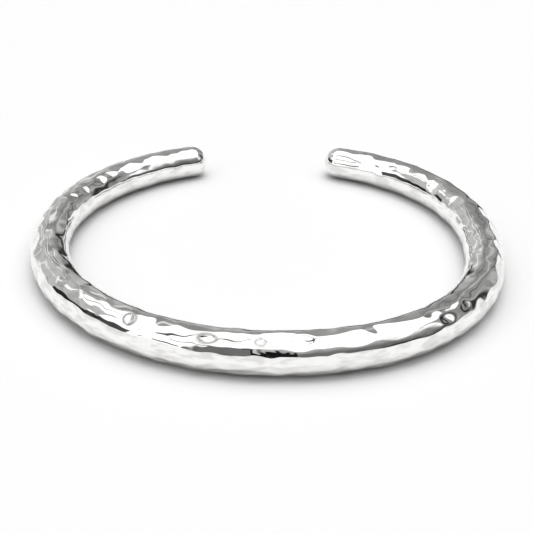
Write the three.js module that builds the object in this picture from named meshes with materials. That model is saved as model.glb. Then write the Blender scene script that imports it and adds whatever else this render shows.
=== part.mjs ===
// An open cuff bracelet: one round bar of silver, thick at the front and
// tapering to two rounded tips, bent round to leave a gap at the back and
// hammered on its outer and upper sides. Millimetres, +Z up. It lies on its
// side on z = 0 with the front towards -Y and the gap towards +Y.
import * as THREE from "three";
import { mergeVertices } from "three/addons/utils/BufferGeometryUtils.js";

// Driving dimensions, in millimetres and degrees. Bearings are measured from
// the middle of the front, towards +X.
const HALF_WIDTH = 32; // centre of the cuff to the bar's axis at either side
const HALF_DEPTH = 31.9; // the same, to the bar's axis at the front
const PLAN_POWER_LEFT = 2.01; // of the -X half: 2 is an ellipse
const PLAN_POWER_RIGHT = 2.17; // of the +X half, which is squarer at its corners
const END_BEARING = 157.5; // where the round tips start
const FRONT_RADIUS = 3.02; // of the bar, at the middle of the front
const END_RADIUS = 2.5; // of the bar and of its round tip, at either end
const TAPER_POWER = 1.75; // how late the bar thins on its way to the ends
const FLAT_HALF_ANGLE = 7.5; // half the arc that the flat on the underside cuts off

// Facets: steps along the bar, round it, and over each round tip.
const STEPS_ALONG = 150;
const STEPS_AROUND = 24;
const STEPS_OVER_TIP = 5;

// The hammer marks on the upper side, told one by one from the -X tip round to
// the +X tip. Around is measured from the outer side: 90 is the top and 180
// the inner side, which stays smooth.
const CHART_COLUMNS = ["bearing", "around", "length", "width", "depth"];
const HAMMER_CHART = [
  [-154, 122, 3.4, 1.3, 0.07], [-150, 98, 5.2, 1.6, 0.09], [-145, 124, 3.4, 1.4, 0.08],
  [-140, 100, 5.0, 1.6, 0.10], [-135, 122, 3.8, 1.6, 0.10], [-131, 94, 5.0, 1.7, 0.10],
  [-127, 118, 3.4, 1.6, 0.11], [-121, 122, 3.0, 1.8, 0.18], [-119, 92, 5.2, 1.8, 0.11],
  [-109, 77, 3.8, 1.6, 0.10], [-105, 91, 3.2, 1.5, 0.10], [-103, 72, 4.0, 1.2, 0.08],
  [-102, 50, 5.4, 1.9, 0.13], [-94, 88, 5.8, 1.7, 0.11], [-93, 48, 5.2, 1.9, 0.13],
  [-93, 67, 4.4, 1.2, 0.06], [-89, 124, 8.5, 1.6, 0.11], [-85, 88, 3.4, 1.5, 0.10],
  [-83, 46, 5.0, 1.9, 0.12], [-79, 74, 3.6, 1.8, 0.08], [-74, 120, 4.2, 1.5, 0.09],
  [-74, 46, 5.0, 1.9, 0.12], [-64, 112, 4.6, 1.5, 0.09], [-63, 73, 4.8, 2.0, 0.11],
  [-61, 48, 5.0, 1.5, 0.08], [-55, 104, 4.8, 1.6, 0.09], [-51, 53, 3.0, 1.9, 0.11],
  [-50, 12, 5.0, 1.6, 0.10], [-48, 86, 5.4, 2.0, 0.10], [-44, 61, 4.4, 2.0, 0.08],
  [-41, 10, 5.0, 1.6, 0.10], [-39, 95, 5.0, 1.7, 0.08], [-31, 47, 5.0, 1.7, 0.05],
  [-27, 80, 4.8, 2.2, 0.16], [-22, 54, 5.6, 2.1, 0.05], [-27, 8, 4.8, 1.6, 0.10],
  [-17, 93, 5.4, 1.8, 0.09], [-12, 1, 5.0, 1.6, 0.10], [-9, 69, 4.4, 1.9, 0.06],
  [-8, 95, 5.0, 1.6, 0.07], [-1, 27, 4.0, 1.0, 0.05], [2, 79, 4.2, 2.2, 0.17],
  [6.5, 44, 4.2, 1.5, 0.06], [7.5, 68, 3.2, 1.8, 0.19], [13, 88, 5.6, 2.0, 0.12],
  [15.5, 3, 5.0, 1.7, 0.10], [18.5, 56, 4.8, 2.2, 0.12], [24, 2, 5.2, 1.7, 0.10],
  [25.5, 77, 4.8, 2.4, 0.18], [31, 57, 5.0, 2.2, 0.10], [33, 4, 5.0, 1.7, 0.10],
  [35, 90, 5.4, 1.9, 0.11], [41, 70, 4.6, 2.0, 0.09], [36, 28, 4.4, 1.7, 0.10],
  [46, 88, 5.0, 2.0, 0.13], [54, 32, 5.4, 1.9, 0.12], [55, 74, 5.0, 2.2, 0.11],
  [57, 100, 5.2, 1.8, 0.10], [64, 52, 4.6, 2.0, 0.14], [66, 86, 5.0, 2.2, 0.12],
  [66, 112, 5.0, 1.5, 0.08], [74, 41, 4.4, 2.0, 0.18], [76, 76, 5.4, 2.4, 0.17],
  [77, 110, 4.4, 1.4, 0.08], [83, 46, 4.2, 2.1, 0.20], [87, 78, 3.4, 1.8, 0.11],
  [92, 50, 4.4, 2.1, 0.20], [95, 86, 5.0, 2.4, 0.17], [104, 84, 4.8, 2.2, 0.15],
  [102, 54, 4.4, 2.0, 0.18], [110, 126, 3.1, 2.5, 0.29], [114, 90, 5.4, 2.0, 0.12],
  [122, 124, 3.3, 2.5, 0.29], [124, 96, 5.4, 1.8, 0.11], [134, 118, 4.2, 1.7, 0.10],
  [135, 92, 5.4, 1.7, 0.10], [141, 122, 4.0, 1.6, 0.09], [145, 98, 5.0, 1.6, 0.09],
  [150, 124, 3.6, 1.4, 0.08], [154, 100, 4.4, 1.4, 0.07],
];

// Rows of hammer marks on the outer and lower sides, all along the bar.
const HAMMER_ROWS = [
  { around: -56, pitch: 3.6, length: 4.2, width: 1.6, depth: 0.12 },
  { around: -36, pitch: 3.3, length: 3.8, width: 1.5, depth: 0.13 },
  { around: -15, pitch: 3.5, length: 4.2, width: 1.5, depth: 0.13 },
  { around: 5, pitch: 4.4, length: 4.6, width: 1.6, depth: 0.11 },
];
const MARK_SPREAD = 0.3; // how unevenly the marks of a row are spaced and sized
const AROUND_SPREAD = 0.1; // how far they stray from the row, as a share of its angle
const GOLDEN_STEP = (Math.sqrt(5) - 1) / 2;
const SMOOTH_TIP = 5; // degrees next to a tip over which the hammering dies out

const silver = new THREE.MeshStandardMaterial({
  color: 0xd9d8d6,
  roughness: 0.06,
  metalness: 1,
});

const toRadians = THREE.MathUtils.degToRad;
const MM_PER_DEGREE = HALF_WIDTH * toRadians(1); // along the bar

/** Distance from the plan's centre to the bar's axis, at a bearing in degrees. */
function planRadius(bearing) {
  const power = bearing < 0 ? PLAN_POWER_LEFT : PLAN_POWER_RIGHT;
  const across = Math.abs(Math.sin(toRadians(bearing))) / HALF_WIDTH;
  const deep = Math.abs(Math.cos(toRadians(bearing))) / HALF_DEPTH;
  return (across ** power + deep ** power) ** (-1 / power);
}

/** Radius of the bar at a bearing in degrees. */
function barRadius(bearing) {
  const share = (Math.abs(bearing) / END_BEARING) ** TAPER_POWER;
  return FRONT_RADIUS + (END_RADIUS - FRONT_RADIUS) * share;
}

/** The bar's axis in plan, from the tip at -X round the front to the tip at +X. */
class BentAxis extends THREE.Curve {
  getPoint(t, target = new THREE.Vector3()) {
    const bearing = (2 * t - 1) * END_BEARING;
    const radius = planRadius(bearing);
    const angle = toRadians(bearing);
    return target.set(radius * Math.sin(angle), -radius * Math.cos(angle), 0);
  }
}

/** An even, repeatable scatter between -1 and 1. */
function scatter(index) {
  return 2 * ((index * GOLDEN_STEP) % 1) - 1;
}

/** The marks of the chart, each with its columns named. */
function chartedMarks() {
  return HAMMER_CHART.map((row) =>
    Object.fromEntries(CHART_COLUMNS.map((name, column) => [name, row[column]])),
  );
}

/** The marks of the rows, unevenly spaced and sized. */
function rowMarks() {
  const marks = [];
  HAMMER_ROWS.forEach((row, rowIndex) => {
    const pitch = row.pitch / MM_PER_DEGREE;
    const start = (rowIndex % 2) * (pitch / 2) - END_BEARING;
    const count = Math.floor((2 * END_BEARING) / pitch);
    for (let i = 0; i <= count; i += 1) {
      const serial = marks.length + 1;
      marks.push({
        bearing: start + pitch * (i + MARK_SPREAD * scatter(serial)),
        around: row.around * (1 + AROUND_SPREAD * scatter(serial * 2)),
        length: row.length * (1 + MARK_SPREAD * scatter(serial * 3)),
        width: row.width,
        depth: row.depth * (1 + MARK_SPREAD * scatter(serial * 5)),
      });
    }
  });
  return marks;
}

/** How deep the hammering is at a place on the bar: the deepest oval bowl there. */
function hammerDepth(marks, bearing, around, radius) {
  let deepest = 0;
  for (const mark of marks) {
    const far = ((bearing - mark.bearing) * MM_PER_DEGREE) / (mark.length / 2);
    if (Math.abs(far) < 1) {
      const turn = toRadians(around - mark.around);
      const wide = (turn * radius) / (mark.width / 2);
      deepest = Math.max(deepest, mark.depth * (1 - far * far - wide * wide));
    }
  }
  const toTip = (END_BEARING - Math.abs(bearing)) / SMOOTH_TIP;
  return deepest * THREE.MathUtils.clamp(toTip, 0, 1);
}

/** The straight bar with round tips, hammered, tapered and bent to its plan. */
function cuffGeometry() {
  const axis = new BentAxis();
  const barLength = axis.getLength();
  const bar = new THREE.CapsuleGeometry(
    1,
    barLength,
    STEPS_OVER_TIP,
    STEPS_AROUND,
    STEPS_ALONG,
  );
  bar.rotateY(Math.PI / STEPS_AROUND); // a facet, not an edge, faces down
  bar.deleteAttribute("normal");
  bar.deleteAttribute("uv");
  const geometry = mergeVertices(bar);

  const marks = [...chartedMarks(), ...rowMarks()];
  const rear = -planRadius(END_BEARING) * Math.cos(toRadians(END_BEARING)) + END_RADIUS;
  const front = -HALF_DEPTH - FRONT_RADIUS;
  const up = new THREE.Vector3(0, 0, 1);
  const position = geometry.attributes.position;
  const vertex = new THREE.Vector3();
  for (let i = 0; i < position.count; i += 1) {
    vertex.fromBufferAttribute(position, i);
    const along = THREE.MathUtils.clamp(vertex.y, -barLength / 2, barLength / 2);
    const intoTip = vertex.y - along;
    const fullness = Math.hypot(vertex.x, vertex.z);
    const turn = Math.atan2(vertex.z, vertex.x);

    const t = along / barLength + 0.5;
    const bearing = (2 * t - 1) * END_BEARING;
    const radius = barRadius(bearing);
    const around = THREE.MathUtils.radToDeg(turn);
    const girth = (radius - hammerDepth(marks, bearing, around, radius)) * fullness;

    const tangent = axis.getTangent(t);
    const outward = new THREE.Vector3().crossVectors(tangent, up);
    const height = radius * Math.cos(toRadians(FLAT_HALF_ANGLE));
    vertex.copy(axis.getPoint(t));
    vertex.addScaledVector(tangent, intoTip * radius);
    vertex.addScaledVector(outward, girth * Math.cos(turn));
    vertex.y -= (front + rear) / 2;
    vertex.z = Math.max(0, height + girth * Math.sin(turn));
    position.setXYZ(i, vertex.x, vertex.y, vertex.z);
  }
  return geometry;
}

const cuff = new THREE.Mesh(cuffGeometry(), silver);
cuff.name = "cuff";

const bracelet = new THREE.Group();
bracelet.add(cuff);

export default bracelet;
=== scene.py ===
"""A hammered silver cuff bracelet, lying on its side on a white studio table."""

import logging
import math
from dataclasses import dataclass, field
from enum import Enum
from typing import Any

import bpy
import numpy as np
from mathutils import Matrix, Vector


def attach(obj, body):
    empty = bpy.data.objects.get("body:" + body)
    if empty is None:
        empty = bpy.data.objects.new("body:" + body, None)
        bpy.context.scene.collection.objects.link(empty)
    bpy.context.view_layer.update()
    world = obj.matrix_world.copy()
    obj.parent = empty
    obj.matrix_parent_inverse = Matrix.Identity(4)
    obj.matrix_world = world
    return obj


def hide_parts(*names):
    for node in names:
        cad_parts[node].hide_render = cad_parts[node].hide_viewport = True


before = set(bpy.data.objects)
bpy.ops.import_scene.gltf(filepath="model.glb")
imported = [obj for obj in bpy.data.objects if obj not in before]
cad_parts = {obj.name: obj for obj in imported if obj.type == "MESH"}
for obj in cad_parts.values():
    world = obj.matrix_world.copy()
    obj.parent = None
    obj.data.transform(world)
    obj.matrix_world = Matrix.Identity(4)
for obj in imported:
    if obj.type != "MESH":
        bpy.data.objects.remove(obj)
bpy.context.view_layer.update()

LOG = logging.getLogger("cuff")
MM = 0.001  # a millimetre, in metres
HALF_TURN = 180.0  # degrees
FULL_TURN = 360.0
GOLDEN_SHARE = (math.sqrt(5) - 1) / 2  # its multiples scatter evenly between whole numbers
SCATTER_STEPS = (1, 2, 3, 5)  # so that a mark's four measures scatter apart
PAINTED_RIM_SHADE = "painted_rim_shade"  # the mesh's attribute that says how dark the painted shade line round the punch marks is at each point


class Maths(Enum):
    """The sums that a wire can do, by the name that a Math node gives them."""

    ADD = "ADD"
    SUBTRACT = "SUBTRACT"
    MULTIPLY = "MULTIPLY"
    ABSOLUTE = "ABSOLUTE"
    MINIMUM = "MINIMUM"
    ARCSINE = "ARCSINE"
    ARCTANGENT2 = "ARCTAN2"


class Wire:
    """An output socket that Python's own operators can be used on."""

    def __init__(self, bench: "NodeBench", socket: bpy.types.NodeSocket | None) -> None:
        """Wraps a socket.

        Args:
            bench: The bench whose tree the socket is in.
            socket: The output socket, or None for a node that has none.
        """
        self.bench = bench
        self.socket = socket

    def _sum(self, kind: Maths, first: Any, second: Any = None) -> "Wire":
        """Adds one Math node.

        Args:
            kind: Which sum.
            first: A wire or a number.
            second: A wire or a number, or None where the sum has one term.

        Returns:
            The node's value.
        """
        values = {0: first} if second is None else {0: first, 1: second}
        return self.bench.add("ShaderNodeMath", {"operation": kind.value}, values)

    def __add__(self, other: Any) -> "Wire":
        """This plus another."""
        return self._sum(Maths.ADD, self, other)

    def __radd__(self, other: Any) -> "Wire":
        """Another plus this."""
        return self._sum(Maths.ADD, other, self)

    def __sub__(self, other: Any) -> "Wire":
        """This less another."""
        return self._sum(Maths.SUBTRACT, self, other)

    def __rsub__(self, other: Any) -> "Wire":
        """Another less this."""
        return self._sum(Maths.SUBTRACT, other, self)

    def __mul__(self, other: Any) -> "Wire":
        """This times another."""
        return self._sum(Maths.MULTIPLY, self, other)

    def __rmul__(self, other: Any) -> "Wire":
        """Another times this."""
        return self._sum(Maths.MULTIPLY, other, self)

    def __abs__(self) -> "Wire":
        """This without its sign."""
        return self._sum(Maths.ABSOLUTE, self)

    def at_most(self, limit: Any) -> "Wire":
        """This, or the limit where that is less."""
        return self._sum(Maths.MINIMUM, self, limit)

    def arcsine(self) -> "Wire":
        """The angle whose sine this is, in radians."""
        return self._sum(Maths.ARCSINE, self)

    def bearing_over(self, other: "Wire") -> "Wire":
        """The angle of the point (other, this), in radians."""
        return self._sum(Maths.ARCTANGENT2, self, other)


class NodeBench:
    """Adds nodes to one node tree."""

    def __init__(self, tree: bpy.types.NodeTree) -> None:
        """Takes over an empty or emptied tree.

        Args:
            tree: The node tree to work on.
        """
        self.tree = tree
        tree.nodes.clear()

    def add(self, kind: str, settings: dict[str, Any], values: dict[Any, Any],
            output: Any = 0) -> Wire:
        """Adds any node.

        Args:
            kind: The node's type.
            settings: What is set on the node itself, before its sockets.
            values: Input sockets, by name or number, with numbers or wires.
            output: The name or number of the output that is wanted.

        Returns:
            A wire from that output.
        """
        node = self.tree.nodes.new(kind)
        for name, value in settings.items():
            setattr(node, name, value)
        for name, value in values.items():
            if isinstance(value, Wire):
                self.tree.links.new(value.socket, node.inputs[name])
            else:
                node.inputs[name].default_value = value
        if not node.outputs:
            return Wire(self, None)
        return Wire(self, node.outputs[output])

    def step(self, value: Wire, edge: float, softness: float) -> Wire:
        """A soft step from 0 to 1 as a value passes an edge.

        Args:
            value: The value.
            edge: Where the step is half way.
            softness: How wide the step is.

        Returns:
            The step.
        """
        return self.add(
            "ShaderNodeMapRange",
            {"interpolation_type": "SMOOTHSTEP"},
            {0: value, 1: edge - softness / 2, 2: edge + softness / 2},
        )

    def blend(self, share: Wire, first: Any, second: Any) -> Wire:
        """One colour turning into another.

        Args:
            share: 0 for the first colour, up to 1 for the second.
            first: A colour, or a wire.
            second: A colour, or a wire.

        Returns:
            The mixed colour.
        """
        factor, colour_a, colour_b, mixed = 0, 6, 7, 2
        return self.add("ShaderNodeMix", {"data_type": "RGBA"}, {
            factor: share, colour_a: first, colour_b: second}, mixed)


@dataclass(frozen=True)
class PolishedSilver:
    """Silver polished to a mirror, with the faint haze of handling."""

    name: str = "polished_silver"
    colour: tuple[float, float, float, float] = (0.95, 0.945, 0.935, 1.0)
    shade: tuple[float, float, float, float] = (0.76, 0.755, 0.745, 1.0)
    # the near-black colour of the painted shade line round each punch mark's rim, a painted dark
    # reflection
    painted_rim_shade: tuple[float, float, float, float] = (0.06, 0.058, 0.055, 1.0)
    polish: float = 0.012  # roughness where the mirror is clean
    haze: float = 0.03  # and where it is hazy
    haze_size: float = 2.6 * MM
    haze_grain: tuple[float, float, float] = (1.0, 1.0, 3.0)
    haze_detail: float = 2.0
    haze_edge: float = 0.55
    haze_softness: float = 0.2
    ripple_size: float = 1.6 * MM
    ripple_detail: float = 1.0
    ripple_height: float = 0.004 * MM

    def material(self) -> bpy.types.Material:
        """Builds the material.

        Returns:
            The material, ready for a slot.
        """
        made = bpy.data.materials.new(self.name)
        made.use_nodes = True
        bench = NodeBench(made.node_tree)
        place = bench.add("ShaderNodeTexCoord", {}, {}, "Object")
        layered = bench.add("ShaderNodeVectorMath", {"operation": "MULTIPLY"}, {
            0: place, 1: self.haze_grain})
        patches = bench.add("ShaderNodeTexNoise", {}, {
            "Vector": layered, "Scale": 1 / self.haze_size,
            "Detail": self.haze_detail})
        haze = bench.step(patches, self.haze_edge, self.haze_softness)
        # mixes in the painted shade line round the punch marks' rims, read from the mesh
        dark = bench.add("ShaderNodeAttribute", {"attribute_name": PAINTED_RIM_SHADE}, {}, "Fac")
        colour = bench.blend(dark, bench.blend(haze, self.colour, self.shade), self.painted_rim_shade)
        ripple = bench.add("ShaderNodeTexNoise", {}, {
            "Vector": place, "Scale": 1 / self.ripple_size,
            "Detail": self.ripple_detail})
        normal = bench.add("ShaderNodeBump", {}, {
            "Strength": 1.0, "Distance": self.ripple_height, "Height": ripple})
        shader = bench.add("ShaderNodeBsdfPrincipled", {}, {
            "Base Color": colour, "Metallic": 1.0,
            "Roughness": self.polish + haze * (self.haze - self.polish),
            "Normal": normal})
        bench.add("ShaderNodeOutputMaterial", {}, {"Surface": shader})
        return made


@dataclass(frozen=True)
class HammerMark:
    """One oval bowl that the hammer left, by its place on the bar."""

    bearing: float  # degrees from the middle of the front, towards +X
    around: float  # degrees round the bar: 0 is outward, 90 up, 180 inward
    length: float  # millimetres along the bar
    width: float  # millimetres round it
    depth: float  # millimetres at its middle
    rim: float = 0.0  # how dark the painted shade line round its edge is
    power: int = 2  # of its oval along the bar: above 2, the floor is flatter


@dataclass(frozen=True)
class HammerRow:
    """A row of marks all along the bar, in the same units as one mark."""

    around: float
    pitch: float  # millimetres from one mark to the next
    length: float
    width: float
    depth: float


# The marks on the upper side, told one by one from the -X tip round to the +X tip.
MARK_COLUMNS = ("bearing", "around", "length", "width", "depth")
MARK_CHART = (
    (-154, 122, 3.4, 1.3, 0.07), (-150, 98, 5.2, 1.6, 0.09), (-145, 124, 3.4, 1.4, 0.08),
    (-140, 100, 5.0, 1.6, 0.10), (-135, 122, 3.8, 1.6, 0.10), (-131, 94, 5.0, 1.7, 0.10),
    (-127, 118, 3.4, 1.6, 0.11), (-121, 122, 3.0, 1.8, 0.18), (-119, 92, 5.2, 1.8, 0.11),
    (-114, 118, 2.4, 1.6, 0.17), (-107, 110, 2.4, 1.7, 0.18), (-109, 77, 3.8, 1.6, 0.10),
    (-105, 91, 3.2, 1.5, 0.10), (-103, 72, 4.0, 1.2, 0.08), (-102, 50, 5.4, 1.9, 0.13),
    (-94, 88, 5.8, 1.7, 0.11), (-93, 48, 5.2, 1.9, 0.13), (-93, 67, 4.4, 1.2, 0.06),
    (-89, 124, 8.5, 1.6, 0.11), (-85, 88, 3.4, 1.5, 0.10), (-83, 46, 5.0, 1.9, 0.12),
    (-79, 74, 3.6, 1.8, 0.08), (-74, 120, 4.2, 1.5, 0.09), (-74, 46, 5.0, 1.9, 0.12),
    (-73, 87, 2.6, 1.3, 0.04), (-64, 112, 4.6, 1.5, 0.09), (-63, 73, 4.8, 2.0, 0.11),
    (-61, 48, 5.0, 1.5, 0.08), (-55, 104, 4.8, 1.6, 0.09), (-51, 53, 3.0, 1.9, 0.11),
    (-50, 12, 5.0, 1.6, 0.10), (-48, 86, 5.4, 2.0, 0.10), (-44, 61, 4.4, 2.0, 0.08),
    (-41, 10, 5.0, 1.6, 0.10), (-39, 95, 5.0, 1.7, 0.08), (-31, 47, 5.0, 1.7, 0.05),
    (-27, 80, 4.8, 2.2, 0.16), (-22, 54, 5.6, 2.1, 0.05), (-27, 8, 4.8, 1.6, 0.10),
    (-17, 93, 5.4, 1.8, 0.09), (-12, 1, 5.0, 1.6, 0.10), (-9, 69, 4.4, 1.9, 0.06),
    (-8, 95, 5.0, 1.6, 0.07), (-1, 27, 4.0, 1.0, 0.05), (2, 79, 4.2, 2.2, 0.17),
    (6.5, 44, 4.2, 1.5, 0.06), (7.5, 68, 3.2, 1.8, 0.19), (13, 88, 5.6, 2.0, 0.12),
    (15.5, 3, 5.0, 1.7, 0.10), (18.5, 56, 4.8, 2.2, 0.12), (24, 2, 5.2, 1.7, 0.10),
    (25.5, 77, 4.8, 2.4, 0.18), (31, 57, 5.0, 2.2, 0.10), (33, 4, 5.0, 1.7, 0.10),
    (35, 90, 5.4, 1.9, 0.11), (41, 70, 4.6, 2.0, 0.09), (36, 28, 4.4, 1.7, 0.10),
    (46, 88, 5.0, 2.0, 0.13), (54, 32, 5.4, 1.9, 0.12), (55, 74, 5.0, 2.2, 0.11),
    (57, 100, 5.2, 1.8, 0.10), (64, 52, 4.6, 2.0, 0.14), (66, 86, 5.0, 2.2, 0.12),
    (66, 112, 5.0, 1.5, 0.08), (74, 41, 4.4, 2.0, 0.18), (76, 76, 5.4, 2.4, 0.17),
    (77, 110, 4.4, 1.4, 0.08), (83, 46, 4.2, 2.1, 0.20), (86, 96, 1.6, 1.2, 0.07),
    (86, 114, 1.5, 1.1, 0.06), (87, 78, 3.4, 1.8, 0.11), (92, 50, 4.4, 2.1, 0.20),
    (95, 86, 5.0, 2.4, 0.17), (104, 84, 4.8, 2.2, 0.15), (102, 54, 4.4, 2.0, 0.18),
    (114, 90, 5.4, 2.0, 0.12), (124, 96, 5.4, 1.8, 0.11), (134, 118, 4.2, 1.7, 0.10),
    (135, 92, 5.4, 1.7, 0.10), (141, 122, 4.0, 1.6, 0.09), (145, 98, 5.0, 1.6, 0.09),
    (150, 124, 3.6, 1.4, 0.08), (154, 100, 4.4, 1.4, 0.07),
)

# The deep marks of a small round punch, each with a painted shade line round its edge in place of
# the dark reflection of its rim.
PUNCH_MARKS = (
    HammerMark(bearing=-58, around=61, length=1.9, width=1.4, depth=0.20, rim=0.3),
    HammerMark(bearing=-33.3, around=61, length=1.8, width=1.8, depth=0.30, rim=0.8),
    HammerMark(bearing=-14, around=57, length=2.3, width=1.25, depth=0.25, rim=0.65),
    HammerMark(bearing=-2.2, around=59, length=1.3, width=1.1, depth=0.20, rim=0.5),
    HammerMark(bearing=43, around=42, length=2.4, width=1.6, depth=0.22, rim=0.85),
    HammerMark(bearing=49.3, around=50, length=1.7, width=1.4, depth=0.20, rim=0.5),
)

# Two flat facets on the upper inner side, near the +X tip.
FACETS = (
    HammerMark(bearing=110, around=126, length=3.1, width=2.5, depth=0.29, power=4),
    HammerMark(bearing=122, around=124, length=3.3, width=2.5, depth=0.29, power=4),
)

# Rows of marks on the outer and lower sides, all along the bar.
HAMMER_ROWS = (
    HammerRow(around=-56, pitch=3.6, length=4.2, width=1.6, depth=0.12),
    HammerRow(around=-36, pitch=3.3, length=3.8, width=1.5, depth=0.13),
    HammerRow(around=-15, pitch=3.5, length=4.2, width=1.5, depth=0.13),
    HammerRow(around=5, pitch=4.4, length=4.6, width=1.6, depth=0.11),
)


@dataclass(frozen=True)
class Wave:
    """A long swell in the bar's skin."""

    length: float  # millimetres along the bar
    turns: int  # how many crests go round the bar
    height: float  # millimetres


WAVES = (
    Wave(length=5.1, turns=2, height=0.020),
    Wave(length=3.7, turns=-3, height=0.012),
    Wave(length=7.9, turns=1, height=0.025),
    Wave(length=2.6, turns=4, height=0.007),
)


@dataclass(frozen=True)
class Sway:
    """A wave that pushes the marks' outlines out of true."""

    shift: float  # degrees
    stride: float  # millimetres along the bar for each radian of the wave
    turns: int  # how many crests go round the bar

    def at(self, along: np.ndarray, turn: np.ndarray) -> np.ndarray:
        """The push, in degrees, at millimetres along the bar and radians round it."""
        return self.shift * np.sin(along / self.stride + self.turns * turn)


ALONG_SWAY = Sway(shift=0.7, stride=1.3, turns=2)
ROUND_SWAYS = (Sway(shift=3, stride=1.9, turns=0), Sway(shift=2, stride=0.8, turns=1))


@dataclass
class Cuff:
    """The hammered bar, tapered and bent round. Millimetres and degrees."""

    half_width: float = 32.0  # of the plan, to the bar's axis
    half_depth: float = 31.9
    plan_powers: tuple[float, float] = (2.01, 2.17)  # of its oval, on the -X and +X sides
    end_bearing: float = 157.5
    front_radius: float = 3.02
    end_radius: float = 2.5
    taper_power: float = 1.75
    flat_half_angle: float = 7.5  # of the flat along the underside
    blend_power: float = 6.0  # the higher, the sharper the ridges between marks
    rim_softness: float = 0.2
    smooth_tip: float = 5.0  # the hammering fades over this many degrees
    row_scatter: float = 0.3  # of the rows' marks, as a share of their sizes and pitch
    around_scatter: float = 0.1  # of the same, as a share of their angle round the bar
    rim_shade_spread: float = 0.15  # how far the painted shade round a punch mark's edge reaches
    bearing_nudge: float = 0.01  # for finding the axis's direction
    steps_along: int = 940
    steps_around: int = 100
    steps_over_tip: int = 20
    finish: PolishedSilver = field(default_factory=PolishedSilver)

    def plan_radius(self, bearing: np.ndarray) -> np.ndarray:
        """Distance from the plan's centre to the bar's axis.

        Args:
            bearing: Bearings, in degrees.

        Returns:
            Distances, in millimetres.
        """
        across = np.abs(np.sin(np.radians(bearing))) / self.half_width
        deep = np.abs(np.cos(np.radians(bearing))) / self.half_depth
        power = np.where(bearing < 0, *self.plan_powers)
        return (across**power + deep**power) ** (-1 / power)

    def bar_radius(self, bearing: np.ndarray) -> np.ndarray:
        """Radius of the bar, in millimetres, at bearings in degrees."""
        share = (np.abs(bearing) / self.end_bearing) ** self.taper_power
        return self.front_radius + (self.end_radius - self.front_radius) * share

    def axis(self, bearing: np.ndarray) -> np.ndarray:
        """The bar's axis in plan.

        Args:
            bearing: Bearings, in degrees.

        Returns:
            An array of (x, y) rows, in millimetres.
        """
        radius = self.plan_radius(bearing)
        angle = np.radians(bearing)
        return np.stack([radius * np.sin(angle), -radius * np.cos(angle)], axis=-1)

    def plan_shift(self) -> float:
        """How far +Y the plan's centre is from the middle of the cuff's box.

        Returns:
            The distance, in millimetres.
        """
        rear = self.axis(np.array(self.end_bearing))[1] + self.end_radius
        front = -self.half_depth - self.front_radius
        return float(-(front + rear) / 2)

    def hammer_depth(self, bearing: np.ndarray, around: np.ndarray) -> np.ndarray:
        """How deep the hammering is.

        Args:
            bearing: Bearings, in degrees.
            around: Angles round the bar, in degrees.

        Returns:
            Depths, in millimetres.
        """
        turn = np.radians(around)
        along = np.radians(bearing) * self.half_width
        swayed = bearing + ALONG_SWAY.at(along, turn)
        rolled = around
        for sway in ROUND_SWAYS:
            rolled = rolled + sway.at(along, turn)
        total = np.zeros(np.broadcast(bearing, around).shape)
        for mark in self.marks():
            total += self._bowl(mark, swayed, rolled) ** self.blend_power
        wobble = np.zeros(total.shape)
        for wave in WAVES:
            wobble += wave.height * np.sin(along * math.tau / wave.length + wave.turns * turn)
        near = (self.end_bearing - np.abs(bearing)) / self.smooth_tip
        return (total ** (1 / self.blend_power) + wobble) * np.clip(near, 0, 1)

    def _off_square(self, mark: HammerMark, bearing: np.ndarray, around: np.ndarray) -> np.ndarray:
        """How far places are from a mark's middle.

        Args:
            mark: The mark.
            bearing: Bearings, in degrees.
            around: Angles round the bar, in degrees.

        Returns:
            Squares of the distance, as a share of that to the mark's edge.
        """
        reach = self.half_width * math.radians(1)
        girth = self.bar_radius(np.array(mark.bearing)) * math.radians(1)
        turn = (around - mark.around + HALF_TURN) % FULL_TURN - HALF_TURN
        far = (bearing - mark.bearing) * reach / (mark.length / 2)
        wide = turn * girth / (mark.width / 2)
        return np.abs(far)**mark.power + wide**2

    def _bowl(self, mark: HammerMark, bearing: np.ndarray, around: np.ndarray) -> np.ndarray:
        """One mark: a shallow oval bowl with a softened rim.

        Args:
            mark: The mark.
            bearing: Bearings, in degrees.
            around: Angles round the bar, in degrees.

        Returns:
            Depths, in millimetres.
        """
        inside = 1 - self._off_square(mark, bearing, around)
        return mark.depth * (np.sqrt(inside**2 + self.rim_softness**2) + inside) / 2

    def painted_rim_shade(self, bearing: np.ndarray, around: np.ndarray) -> np.ndarray:
        """How dark the painted shade line round the punched marks' edges is, standing in for the
        dark reflection of their rims.

        Args:
            bearing: Bearings, in degrees.
            around: Angles round the bar, in degrees.

        Returns:
            0 where no shade is painted, up to 1.
        """
        dark = np.zeros(np.broadcast(bearing, around).shape)
        for mark in PUNCH_MARKS:
            off = np.sqrt(self._off_square(mark, bearing, around)) - 1
            line = np.exp(-(off * mark.width / 2 / self.rim_shade_spread) ** 2)
            dark = np.maximum(dark, mark.rim * line)
        return dark

    def marks(self) -> list[HammerMark]:
        """Every hammer mark: the charted ones, and those of the rows.

        Returns:
            The marks. A row's scatter goes by each mark's place in this list.
        """
        marks = [HammerMark(**dict(zip(MARK_COLUMNS, row))) for row in MARK_CHART]
        marks.extend(PUNCH_MARKS + FACETS)
        degree = self.half_width * math.radians(1)
        for number, row in enumerate(HAMMER_ROWS):
            pitch = row.pitch / degree
            count = int(2 * self.end_bearing / pitch)
            for step in range(count + 1):
                serial = len(marks) + 1
                scatter = [2 * ((serial * times * GOLDEN_SHARE) % 1) - 1 for times in SCATTER_STEPS]
                start = (number % 2) * pitch / 2 - self.end_bearing
                marks.append(HammerMark(
                    bearing=start + step * pitch + pitch * self.row_scatter * scatter[0],
                    around=row.around * (1 + self.around_scatter * scatter[1]),
                    length=row.length * (1 + self.row_scatter * scatter[2]),
                    width=row.width,
                    depth=row.depth * (1 + self.row_scatter * scatter[3])))
        return marks

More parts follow.
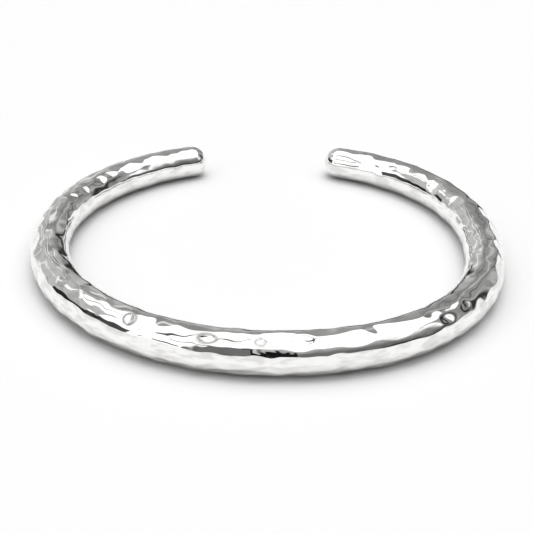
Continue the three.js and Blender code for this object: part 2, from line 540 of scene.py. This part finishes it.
    def lattice(self) -> tuple[np.ndarray, np.ndarray]:
        """The places of the skin's points.

        Returns:
            The bearing of each step along the bar, tips included, and the angle of
            each step round it, in degrees.
        """
        bearing = np.linspace(-self.end_bearing, self.end_bearing, self.steps_along + 1)
        ones = np.ones(self.steps_over_tip)
        bearing = np.concatenate([-self.end_bearing * ones, bearing, self.end_bearing * ones])
        underside = -HALF_TURN / 2
        around = underside + (np.arange(self.steps_around) + 0.5) * FULL_TURN / self.steps_around
        return bearing, around

    def surface(self) -> np.ndarray:
        """The bar's skin.

        Returns:
            Points as [step along][step around](x, y, z), in millimetres. The first
            and last steps are the tips' poles.
        """
        bearing, around = self.lattice()
        tip = np.linspace(0, math.pi / 2, self.steps_over_tip, endpoint=False)
        sink = np.zeros(self.steps_along + 1)
        into_tip = np.concatenate([-np.cos(tip), sink, np.cos(tip[::-1])])
        fullness = np.concatenate([np.sin(tip), sink + 1, np.sin(tip[::-1])])

        radius = self.bar_radius(bearing)
        girth = (radius[:, None] - self.hammer_depth(bearing[:, None], around[None, :]))
        girth = girth * fullness[:, None]
        nudge = self.bearing_nudge
        ahead = self.axis(bearing + nudge) - self.axis(bearing - nudge)
        ahead /= np.linalg.norm(ahead, axis=1)[:, None]
        outward = np.stack([ahead[:, 1], -ahead[:, 0]], axis=-1)

        turn = np.radians(around)[None, :]
        plan = self.axis(bearing) + ahead * (into_tip * radius)[:, None]
        plan = plan[:, None, :] + outward[:, None, :] * (girth * np.cos(turn))[..., None]
        lift = radius * math.cos(math.radians(self.flat_half_angle))
        height = np.maximum(0.0, lift[:, None] + girth * np.sin(turn))
        plan[..., 1] += self.plan_shift()
        return np.concatenate([plan, height[..., None]], axis=-1)

    def mesh(self) -> bpy.types.Mesh:
        """The skin as a closed, smooth-shaded mesh, in metres.

        Returns:
            The mesh, with how dark the painted rim shade is at each of its points.
        """
        points = self.surface() * MM
        rows, columns, _ = points.shape
        verts = np.concatenate([points[:1, 0], points[1:-1].reshape(-1, 3), points[-1:, 0]])
        step = np.arange(columns)
        following = (step + 1) % columns
        faces = []
        for row in range(rows - 3):
            low = 1 + row * columns
            quads = [low + step, low + columns + step, low + columns + following, low + following]
            faces.extend(np.stack(quads, axis=-1).tolist())
        last = len(verts) - 1
        faces.extend([0, int(1 + a), int(1 + b)] for a, b in zip(step, following))
        high = last - columns
        faces.extend([last, int(high + b), int(high + a)] for a, b in zip(step, following))
        made = bpy.data.meshes.new("hammered_cuff")
        made.from_pydata(verts.tolist(), [], faces)
        made.validate()
        made.polygons.foreach_set("use_smooth", [True] * len(made.polygons))
        bearing, around = self.lattice()
        # the painted shade line round the punch marks, stored on the mesh for the material
        dark = self.painted_rim_shade(bearing[:, None], around[None, :])
        dark = np.concatenate([dark[:1, 0], dark[1:-1].ravel(), dark[-1:, 0]])
        made.attributes.new(PAINTED_RIM_SHADE, "FLOAT", "POINT").data.foreach_set("value", dark)
        return made

    def build(self) -> bpy.types.Object:
        """Makes the cuff and puts it in place of the plain one.

        Returns:
            The finished piece.
        """
        piece = bpy.data.objects.new("hammered_cuff", self.mesh())
        bpy.context.scene.collection.objects.link(piece)
        piece.data.materials.append(self.finish.material())
        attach(piece, "root")
        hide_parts("cuff")
        return piece


@dataclass(frozen=True)
class Panel:
    """A soft-edged patch of light or shade around the table, in degrees."""

    level: float  # how bright it is
    bearing: float = 0.0  # of its middle: 0 is before the cuff's front, 90 is +X
    spread: float = HALF_TURN  # half its width, all the way round if not given
    low: float = -90.0  # height of its lower edge above the table
    high: float = 120.0  # of its upper edge, past straight up if not given
    softness: float = 4.0


@dataclass(frozen=True)
class Seam:
    """A thin dark line where two of the overhead lights meet."""

    across: tuple[float, float, float]  # square to the plane that the line lies in
    stop: tuple[float, float, float]  # towards where it stops
    reach: float  # the cosine to that direction, where it stops
    width: float  # in radians
    low: float  # height above the table where it starts, in degrees
    rise: float = 8.0  # degrees over which it comes in there
    fade: float = 0.1  # of the cosine, over which it goes out
    edge: float = 0.012  # radians over which its sides soften


@dataclass
class Studio:
    """The white table, the lights round it and the camera.

    Each panel covers those before it where they overlap.
    """

    floor_size: float = 4.0
    floor_colour: tuple[float, float, float, float] = (0.546, 0.546, 0.546, 1.0)
    dim: float = 0.52  # how bright it is where there is no panel
    panels: tuple[Panel, ...] = (
        Panel(bearing=135, spread=42, level=0.30, softness=12),
        Panel(bearing=112, spread=7, high=34, level=0.04, softness=8),
        Panel(bearing=128, spread=4, high=60, level=0.45, softness=5),
        Panel(bearing=146, spread=2, high=60, level=0.15, softness=3),
        Panel(bearing=157, spread=2, high=60, level=0.50, softness=3),
        Panel(bearing=166, spread=1.2, high=60, level=0.2, softness=2),
        Panel(bearing=160, spread=16, high=8, level=0.05, softness=6),
        Panel(bearing=-172, spread=14, low=26, high=60, level=0.32, softness=8),
        Panel(bearing=-173, spread=1.0, high=32, level=0.85, softness=1.4),
        Panel(bearing=-164, spread=1.2, level=0.85, softness=1.6),
        Panel(bearing=-154, spread=1.0, high=32, level=0.80, softness=1.4),
        Panel(bearing=-136, spread=1.2, level=0.80, softness=1.6),
        Panel(bearing=178, spread=13, high=8, level=0.03, softness=8),
        Panel(bearing=78, spread=14, high=17, level=0.07, softness=7),
        Panel(bearing=76, spread=11, low=20, high=60, level=1.2, softness=4),
        Panel(bearing=34, spread=36, high=36, level=0.16, softness=30),
        Panel(bearing=58, spread=14, high=15, level=0.04, softness=8),
        Panel(bearing=-17, spread=17, high=45, level=0.16, softness=2),
        Panel(bearing=-50, spread=16, high=60, level=1.5, softness=2),
        Panel(bearing=-46, spread=12, low=42, high=46, level=0.10, softness=2),
        Panel(bearing=-45, spread=9, low=13, high=19, level=0.02, softness=1.5),
        Panel(bearing=-78, spread=14, low=26, high=60, level=1.5, softness=3),
        Panel(bearing=-78, spread=12, high=26, level=0.07),
        Panel(bearing=-102, spread=16, high=19, level=0.02),
        Panel(bearing=0, spread=6, high=40, level=0.01, softness=2),
        Panel(bearing=0.5, spread=2.2, low=29, high=44, level=0.6, softness=2),
        Panel(bearing=-11, spread=5, low=42, high=47, level=0.01, softness=2),
        Panel(bearing=0, spread=150, high=6, level=0.95, softness=3),
        Panel(bearing=-129, spread=5, low=32, high=43, level=1.2, softness=2),
        Panel(bearing=-137, spread=4, low=22, high=30, level=0.75, softness=2),
        Panel(bearing=-134, spread=16, low=45, level=2.1, softness=3),
        Panel(bearing=148, spread=14, low=45, level=2.1, softness=3),
        Panel(low=47, level=2.45, softness=3),
        Panel(low=72, level=7.4, softness=3),
    )
    seams: tuple[Seam, ...] = (
        Seam(across=(-0.535, 0.836, -0.126), stop=(1, 0, 0), reach=0.15, width=0.055, low=48),
        Seam(across=(0.808, 0.523, 0.272), stop=(0, -1, 0), reach=-0.27, width=0.03, low=41),
    )
    seam_level: float = 0.10
    mirror_limit: float = 1.3  # the brightest that the lights look in a reflection
    camera_distance: float = 221.65 * MM
    camera_height_angle: float = 28.0
    camera_bearing: float = -1.33
    camera_roll: float = 1.46
    camera_aim: tuple[float, float] = (-0.056 * MM, -2.434 * MM)
    lens: float = 101.3
    sensor_width: float = 36.0
    nearest_seen: float = 5 * MM

    def floor(self) -> None:
        """Lays the white table."""
        bpy.ops.mesh.primitive_plane_add(size=self.floor_size)
        table = bpy.context.object
        table.name = "table"
        made = bpy.data.materials.new("white_table")
        made.use_nodes = True
        bench = NodeBench(made.node_tree)
        shader = bench.add("ShaderNodeBsdfPrincipled", {}, {
            "Base Color": self.floor_colour, "Roughness": 1.0, "Specular IOR Level": 0.0})
        bench.add("ShaderNodeOutputMaterial", {}, {"Surface": shader})
        table.data.materials.append(made)

    def _mask(self, bench: NodeBench, ray: tuple[Wire, Wire, Wire], height: Wire,
              panel: Panel) -> Wire:
        """Where a panel is.

        Args:
            bench: The world's bench.
            ray: The direction looked in, as x, y and z.
            height: Its angle above the table, in degrees.
            panel: The panel.

        Returns:
            1 on the panel and 0 off it.
        """
        mask = bench.step(height, panel.low, panel.softness)
        mask = mask * (1 - bench.step(height, panel.high, panel.softness))
        if panel.spread >= HALF_TURN:
            return mask
        middle = math.radians(panel.bearing)
        side = ray[0] * math.cos(middle) + ray[1] * math.sin(middle)
        ahead = ray[0] * math.sin(middle) - ray[1] * math.cos(middle)
        off = abs(side.bearing_over(ahead)) * math.degrees(1)
        return mask * (1 - bench.step(off, panel.spread, panel.softness))

    def _line(self, bench: NodeBench, ray: tuple[Wire, Wire, Wire], height: Wire,
              seam: Seam) -> Wire:
        """Where a seam is.

        Args:
            bench: The world's bench.
            ray: The direction looked in, as x, y and z.
            height: Its angle above the table, in degrees.
            seam: The seam.

        Returns:
            1 on the seam and 0 off it.
        """
        off = abs(sum((part * share for part, share in zip(ray, seam.across)), 0.0))
        beyond = sum((part * share for part, share in zip(ray, seam.stop)), 0.0)
        mask = bench.step(height, seam.low, seam.rise)
        mask = mask * (1 - bench.step(beyond, seam.reach, seam.fade))
        return mask * (1 - bench.step(off, seam.width / 2, seam.edge))

    def lights(self) -> None:
        """Sets the panels round the table, with plain white behind it."""
        world = bpy.data.worlds.new("studio")
        bpy.context.scene.world = world
        world.use_nodes = True
        bench = NodeBench(world.node_tree)
        direction = bench.add("ShaderNodeTexCoord", {}, {}, "Generated")
        parts = {"Vector": direction}
        ray = tuple(bench.add("ShaderNodeSeparateXYZ", {}, parts, i) for i in range(3))
        height = ray[2].arcsine() * math.degrees(1)
        level: Any = self.dim
        for panel in self.panels:
            mask = self._mask(bench, ray, height, panel)
            level = level + mask * (panel.level - level)
        for seam in self.seams:
            mask = self._line(bench, ray, height, seam)
            level = level + mask * (self.seam_level - level)
        mirrored = bench.add("ShaderNodeLightPath", {}, {}, "Is Glossy Ray")
        level = level + mirrored * (level.at_most(self.mirror_limit) - level)
        seen = bench.add("ShaderNodeLightPath", {}, {}, "Is Camera Ray")
        level = level + seen * (1.0 - level)
        light = bench.add("ShaderNodeBackground", {}, {"Color": (1, 1, 1, 1), "Strength": level})
        bench.add("ShaderNodeOutputWorld", {}, {"Surface": light})

    def camera(self, shift: float) -> None:
        """Sets up the camera.

        Args:
            shift: How far +Y of the origin the plan's centre is, in metres.
        """
        data = bpy.data.cameras.new("camera")
        data.lens = self.lens
        data.sensor_width = self.sensor_width
        data.clip_start = self.nearest_seen
        eye = bpy.data.objects.new("camera", data)
        bpy.context.scene.collection.objects.link(eye)
        bearing = math.radians(self.camera_bearing)
        rise = math.radians(self.camera_height_angle)
        back = Vector((math.sin(bearing) * math.cos(rise),
                       -math.cos(bearing) * math.cos(rise), math.sin(rise)))
        aim = Vector((self.camera_aim[0], self.camera_aim[1] + shift, 0.0))
        roll = Matrix.Rotation(math.radians(self.camera_roll), 4, "Z")
        place = Matrix.Translation(aim + back * self.camera_distance)
        eye.matrix_world = place @ back.to_track_quat("Z", "Y").to_matrix().to_4x4() @ roll
        bpy.context.scene.camera = eye
        bpy.context.scene.view_settings.view_transform = "Standard"


def main() -> None:
    """Builds everything in order."""
    logging.basicConfig(level=logging.INFO)
    cuff = Cuff()
    piece = cuff.build()
    LOG.info("%s: %d faces", piece.name, len(piece.data.polygons))
    studio = Studio()
    studio.floor()
    studio.lights()
    studio.camera(cuff.plan_shift() * MM)
    LOG.info("studio: %d panels", len(studio.panels))


if __name__ == "__main__":
    main()
